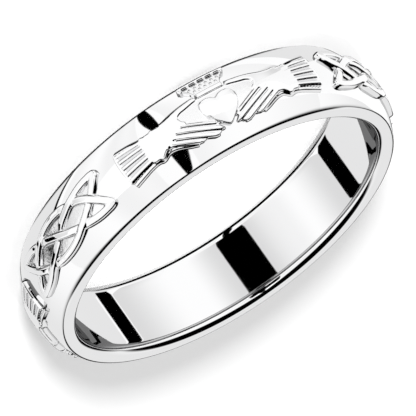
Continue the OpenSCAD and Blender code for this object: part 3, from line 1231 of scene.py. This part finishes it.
# %% [markdown]
# ## Greys
# A white wall falls off toward its gap, and the walls behind the ring get less light. Without
# these greys the bore would be flat white between its bars.

# %% The grey parts of the walls
WALL_WHITE = 1.06
FALL_OFF, BEHIND_GREY, GREY_BAND = 0.3, 0.22, 0.1
# the share of the fall-off that is left above and below the table's side
FALL_OFF_ELSEWHERE = 0.3
# where a wall falls off: its two ends, and how soft each end is
FALLING = [(-94, -70, EDGE, 44), (66, RIGHT_GAP[0], 30, EDGE),
           (FRONT_GAP[1], 24, EDGE, 24), (-24, FRONT_GAP[0], 24, EDGE)]
LOW_TOP, LOW_EDGE = -10, 8
# behind the ring the grey starts sharply low down, and slowly above
SHARP_RIGHT, SHARP_LEFT, SHARP_EDGE = 97, -110, 1
SLOW_MIDDLE, SLOW_EDGE = 115, 60
BAND_START, BAND_END, BAND_EDGE = 27, 44, 16

fall_off = on("ADD", *[between(angle, *ends) for ends in FALLING])
soft = on("MULTIPLY", fall_off,
          math_node("ADD", math_node("MULTIPLY", table_side, 1 - FALL_OFF_ELSEWHERE),
                    FALL_OFF_ELSEWHERE), FALL_OFF)
low = inverse(step_up(height, LOW_TOP, LOW_EDGE))
sharp_change = on("ADD", step_up(angle, SHARP_RIGHT, SHARP_EDGE),
                  inverse(step_up(angle, SHARP_LEFT, SHARP_EDGE)))
slow_change = step_up(turned_away, SLOW_MIDDLE, SLOW_EDGE)
behind = on("ADD", on("MULTIPLY", low, sharp_change),
            on("MULTIPLY", inverse(low), slow_change))
behind = on("MULTIPLY", behind, BEHIND_GREY)
grey_band = math_node("MULTIPLY", near(angle, BAND_START, BAND_END, BAND_EDGE), GREY_BAND)
walls = math_node("SUBTRACT", WALL_WHITE, on("ADD", soft, behind, grey_band))
tent = math_node("MULTIPLY", walls, inverse(dark))
print("walls at", WALL_WHITE, "with up to", FALL_OFF, "less beside a gap")

# %% [markdown]
# ## Who sees the tent
# Only the metal's mirror rays see the walls and gaps; all else gets an even light, so that the
# table stays plain. A reflection in a reflection is darker, as in a real groove, where light
# has met the metal twice.

# %% Brightness of the tent
EVEN_LIGHT = 0.74
LOSS, LOSS_BELOW, LEAST_LEFT = 0.28, 0.5, 0.1
BELOW_EDGE = 6

light_path = nodes.new("ShaderNodeLightPath")
below = inverse(step_up(height, TABLE_TOP, BELOW_EDGE))
loss = math_node("ADD", math_node("MULTIPLY", below, LOSS_BELOW), LOSS)
later_bounces = math_node("SUBTRACT", light_path.outputs["Glossy Depth"], 1.0)
later_bounces = math_node("MAXIMUM", later_bounces, 0.0)
left_over = inverse(math_node("MULTIPLY", later_bounces, loss))
tent = math_node("MULTIPLY", tent, math_node("MAXIMUM", left_over, LEAST_LEFT))
mirror = light_path.outputs["Is Glossy Ray"]
strength = math_node("ADD", math_node("MULTIPLY", mirror, tent),
                     math_node("MULTIPLY", inverse(mirror), EVEN_LIGHT))
links.new(strength, background.inputs["Strength"])
background.inputs["Color"].default_value = WHITE
print("nodes in the tent:", len(nodes))


# %% [markdown]
# ## White cards
# Photographers lay white cards on the table where they want a highlight. Two cards here keep
# the relief free of the black gaps that only the bore should show. They lie just under the
# table, widen away from the ring, and are seen only in the metal.

# %% White cards beside the ring
CARD_LENGTH = 0.3
CARD_DEPTH = 0.00002
BLACK = (0, 0, 0, 1)


def seen_only_in_metal(sheet, material):
    sheet.data.materials.append(material)
    sheet.visible_camera = sheet.visible_diffuse = sheet.visible_shadow = False
    return sheet


def card(name, turn, start, wide, far_wide, brightness):
    """A card that starts at a distance from the ring's axis, turned from the camera's side."""
    sheet = fresh(bpy.ops.mesh.primitive_plane_add, size=1, location=(0, 0, 0))
    sheet.name = name
    sheet.scale = (CARD_LENGTH, wide, 1)
    sheet.location = (start + CARD_LENGTH / 2, 0, -CARD_DEPTH)
    settled(sheet)
    for vertex in sheet.data.vertices:
        vertex.select = vertex.co.x > start + CARD_LENGTH / 2
    bpy.ops.object.mode_set(mode="EDIT")
    bpy.ops.transform.resize(value=(1, far_wide / wide, 1),
                             center_override=(start + CARD_LENGTH, 0, 0))
    bpy.ops.object.mode_set(mode="OBJECT")
    sheet.rotation_euler = (0, 0, math.radians(CAMERA_AZIMUTH + turn))
    settled(sheet)
    glow, shader = plain(name, BLACK)
    shader.inputs["Emission Color"].default_value = WHITE
    shader.inputs["Emission Strength"].default_value = brightness
    return seen_only_in_metal(sheet, glow)


front = card("front card", turn=0, start=0.0109, wide=0.0036, far_wide=0.15, brightness=1.06)
left = card("left card", turn=-78, start=0.0105, wide=0.008, far_wide=0.2, brightness=1.0)
print("cards:", front.name, "/", left.name)


# %% [markdown]
# ## A dark card
# The far inner edge of the ring should see the front gap too, but it looks past it. The tent
# could not change for that edge alone, so a small card stands over the ring's middle. It is
# black on the side away from the camera and clear on the other, so only the far part sees it.

# %% The dark card
DARK_CARD_SIZE = (0.0017, 0.004)
DARK_CARD_HEIGHT = 0.0066


def dark_card():
    sheet = fresh(bpy.ops.mesh.primitive_plane_add, size=1, location=(0, 0, 0),
                  rotation=(math.pi / 2, 0, 0))
    sheet.name = "dark card"
    sheet.scale = (DARK_CARD_SIZE[0], DARK_CARD_SIZE[1], 1)
    sheet.location = (0, 0, DARK_CARD_HEIGHT)
    settled(sheet)
    sheet.rotation_euler = (0, 0, AZIMUTH)
    settled(sheet)
    black, shader = plain("dark card", BLACK)
    shader.inputs["Specular IOR Level"].default_value = 0
    face = black.node_tree.nodes.new("ShaderNodeNewGeometry")
    black.node_tree.links.new(face.outputs["Backfacing"], shader.inputs["Alpha"])
    return seen_only_in_metal(sheet, black)


print("card:", dark_card().name)

# %% [markdown]
# ## Key light and inside light
# The soft shadow comes from one light, low on the camera's side; the camera is rolled over, so
# the shadow falls below the ring in the picture. It could be a lamp, but a sun a few degrees
# wide gives the same soft edge everywhere. A small spot from straight above lights the table
# inside the ring, which the ring itself shades. Neither shows in the metal.

# %% The two lights
KEY_POWER, KEY_WIDTH = 5.4, 7
SHADOW_TURN = math.radians(6)
KEY_HEIGHT = 0.285
FILL_POWER, FILL_RADIUS, FILL_HEIGHT = 1.3, 8.9, 200
FILL_SOFT_RIM, FILL_LAMP_RADIUS = 0.15, 0.002


def lamp(name, kind, power):
    data = bpy.data.lights.new(name, kind)
    data.energy = power
    lamp_object = bpy.data.objects.new(name, data)
    bpy.context.collection.objects.link(lamp_object)
    lamp_object.visible_glossy = False
    return lamp_object


key = lamp("key light", "SUN", KEY_POWER)
key.data.angle = math.radians(KEY_WIDTH)
toward = Vector((math.sin(AZIMUTH - SHADOW_TURN), -math.cos(AZIMUTH - SHADOW_TURN), KEY_HEIGHT))
key.rotation_mode = "QUATERNION"
key.rotation_quaternion = toward.to_track_quat("Z", "Y")

fill = lamp("inside light", "SPOT", FILL_POWER)
fill.data.spot_size = 2 * math.atan(FILL_RADIUS / FILL_HEIGHT)
fill.data.spot_blend = FILL_SOFT_RIM
fill.data.shadow_soft_size = FILL_LAMP_RADIUS
fill.location = (0, 0, FILL_HEIGHT * MM)
bpy.context.scene.view_settings.view_transform = "Standard"
print("lights:", key.name, "/", fill.name)

# %% [markdown]
# ## Done

# %% The end
print("done")
